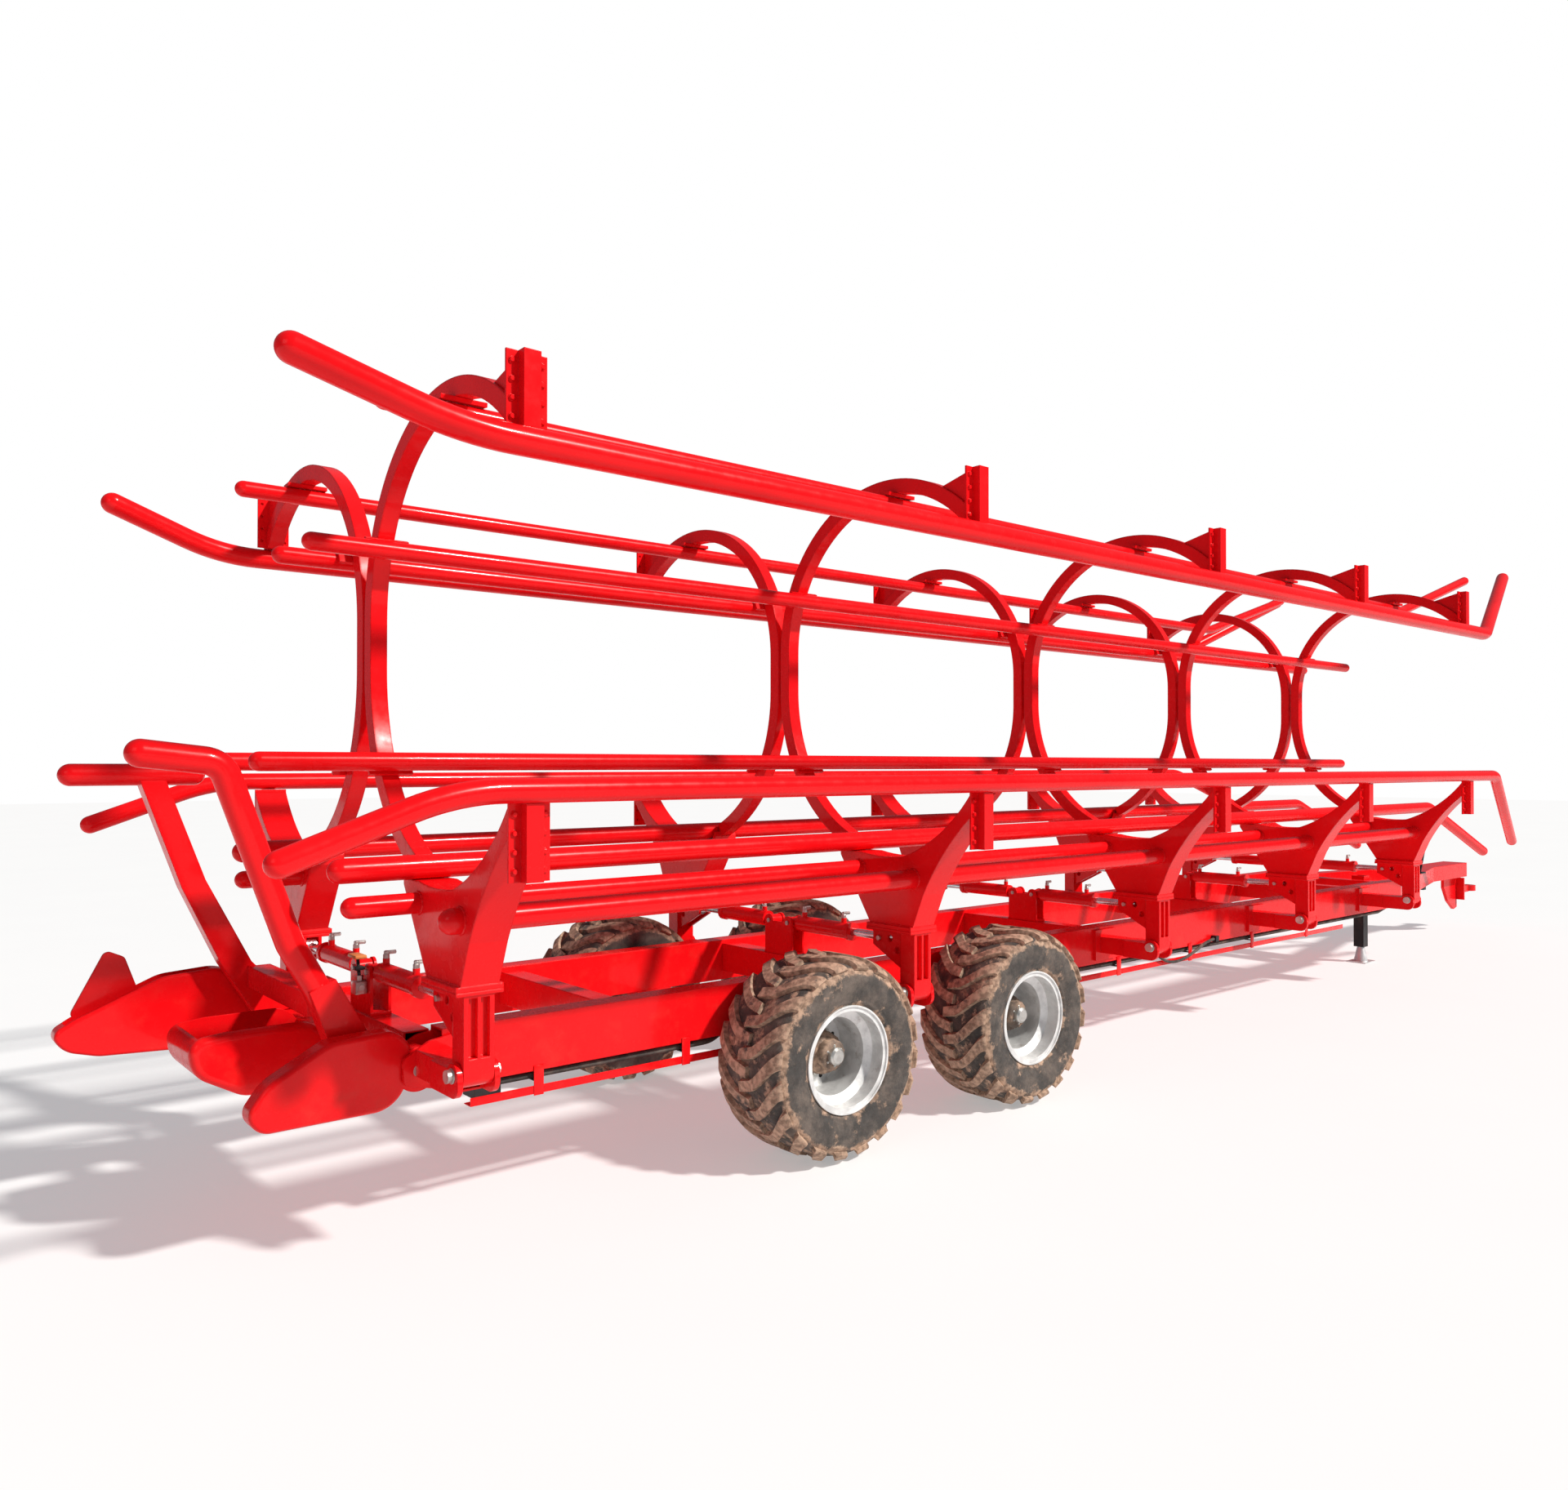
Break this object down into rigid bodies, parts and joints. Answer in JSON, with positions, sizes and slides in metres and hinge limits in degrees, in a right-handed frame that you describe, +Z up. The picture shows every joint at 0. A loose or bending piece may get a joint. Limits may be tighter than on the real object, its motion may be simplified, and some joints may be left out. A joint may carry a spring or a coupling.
{
  "type": "two-lane round bale trailer",
  "caption": "Towed farm trailer with two side-tipping cages of C-shaped hoops and long rails, a rear loading head, tandem wheels and a drawbar jack.",
  "frame": {"origin": "on the ground, under the middle of the overall length and width", "axes": "+X forwards to the hitch, +Y left, +Z up"},
  "size_m": [13.34, 3.0238, 3.5848],
  "materials": {
    "red_paint": "gloss",
    "tyre_rubber": "dusty matte",
    "rim_silver": "satin",
    "hub_brown": "satin",
    "black_paint": "satin",
    "galvanised": "dull",
    "zinc_steel": "satin",
    "hose_rubber": "matte",
    "chrome_rod": "polished"
  },
  "bodies": {
    "chassis": {"axles": "red_paint", "chassis_pins": "zinc_steel", "cross_members": "red_paint", "drawbar": "red_paint", "hanging_hose": "hose_rubber", "head_hinge_plates": "red_paint", "head_pins": "zinc_steel", "hitch_eye": "red_paint", "hitch_plate": "red_paint", "hydraulic_lines": "hose_rubber", "jack_sleeve": "red_paint", "left_chassis_beam": "red_paint", "line_fittings": "black_paint", "outriggers": "red_paint", "ram_stands": "red_paint", "right_chassis_beam": "red_paint"},
    "right_cage": {"right_posts": "red_paint", "right_pedestals": "red_paint", "right_hoops": "red_paint", "right_rail_brackets": "red_paint", "right_upper_outer_rail": "red_paint", "right_lower_outer_rail": "red_paint", "right_guide_rails": "red_paint", "right_bed_rails": "red_paint", "right_rail_clamps": "red_paint", "right_cage_fasteners": "zinc_steel"},
    "right_ram_barrels_body": {"right_ram_barrels": "red_paint"},
    "right_ram_rods_body": {"right_ram_rods": "chrome_rod"},
    "right_rear_wheel": {"right_rear_tyre": "tyre_rubber", "right_rear_rim": "rim_silver", "right_rear_hub": "hub_brown"},
    "right_front_wheel": {"right_front_tyre": "tyre_rubber", "right_front_rim": "rim_silver", "right_front_hub": "hub_brown"},
    "left_cage": {"left_posts": "red_paint", "left_pedestals": "red_paint", "left_hoops": "red_paint", "left_rail_brackets": "red_paint", "left_upper_outer_rail": "red_paint", "left_lower_outer_rail": "red_paint", "left_guide_rails": "red_paint", "left_bed_rails": "red_paint", "left_rail_clamps": "red_paint", "left_cage_fasteners": "zinc_steel"},
    "left_ram_barrels_body": {"left_ram_barrels": "red_paint"},
    "left_ram_rods_body": {"left_ram_rods": "chrome_rod"},
    "left_rear_wheel": {"left_rear_tyre": "tyre_rubber", "left_rear_rim": "rim_silver", "left_rear_hub": "hub_brown"},
    "left_front_wheel": {"left_front_tyre": "tyre_rubber", "left_front_rim": "rim_silver", "left_front_hub": "hub_brown"},
    "loading_head": {"right_shoe": "red_paint", "left_shoe": "red_paint", "centre_spoon": "red_paint", "head_crossbar": "red_paint", "right_head_arm": "red_paint", "left_head_arm": "red_paint"},
    "jack_leg": {"jack_post": "black_paint", "jack_foot": "galvanised"}
  },
  "joints": [
    {"name": "right_cage_tilt", "type": "hinge", "parent": "chassis", "child": "right_cage", "pos_m": [0, -1.01, 0.7], "axis": [1, 0, 0], "range_deg": [0, 28]},
    {"name": "right_ram_swing", "type": "hinge", "parent": "chassis", "child": "right_ram_barrels_body", "pos_m": [0, -0.08, 0.94], "axis": [-1, 0, 0], "range_deg": [0, 4.75]},
    {"name": "right_ram_stroke", "type": "slide", "parent": "right_ram_barrels_body", "child": "right_ram_rods_body", "axis": [0, -1, 0], "range_m": [0, 0.1406]},
    {"name": "right_rear_wheel_spin", "type": "hinge", "parent": "chassis", "child": "right_rear_wheel", "pos_m": [-3.835, -0.895, 0.465], "axis": [0, 1, 0], "continuous": true},
    {"name": "right_front_wheel_spin", "type": "hinge", "parent": "chassis", "child": "right_front_wheel", "pos_m": [-2.505, -0.895, 0.465], "axis": [0, 1, 0], "continuous": true},
    {"name": "left_cage_tilt", "type": "hinge", "parent": "chassis", "child": "left_cage", "pos_m": [0, 1.01, 0.7], "axis": [-1, 0, 0], "range_deg": [0, 28]},
    {"name": "left_ram_swing", "type": "hinge", "parent": "chassis", "child": "left_ram_barrels_body", "pos_m": [0, 0.08, 0.94], "axis": [1, 0, 0], "range_deg": [0, 4.75]},
    {"name": "left_ram_stroke", "type": "slide", "parent": "left_ram_barrels_body", "child": "left_ram_rods_body", "axis": [0, 1, 0], "range_m": [0, 0.1406]},
    {"name": "left_rear_wheel_spin", "type": "hinge", "parent": "chassis", "child": "left_rear_wheel", "pos_m": [-3.835, 0.895, 0.465], "axis": [0, 1, 0], "continuous": true},
    {"name": "left_front_wheel_spin", "type": "hinge", "parent": "chassis", "child": "left_front_wheel", "pos_m": [-2.505, 0.895, 0.465], "axis": [0, 1, 0], "continuous": true},
    {"name": "loading_head_lower", "type": "hinge", "parent": "chassis", "child": "loading_head", "pos_m": [-5.64, 0, 0.64], "axis": [0, -1, 0], "range_deg": [0, 30]},
    {"name": "jack_lift", "type": "slide", "parent": "chassis", "child": "jack_leg", "axis": [0, 0, 1], "range_m": [0, 0.28]}
  ],
  "couplings": [
    {"joint": "right_ram_swing", "follows": "right_cage_tilt", "ratio": 0.1679},
    {"joint": "right_ram_stroke", "follows": "right_cage_tilt", "m_per_rad": 0.28678},
    {"joint": "left_ram_swing", "follows": "left_cage_tilt", "ratio": 0.1679},
    {"joint": "left_ram_stroke", "follows": "left_cage_tilt", "m_per_rad": 0.28678}
  ]
}
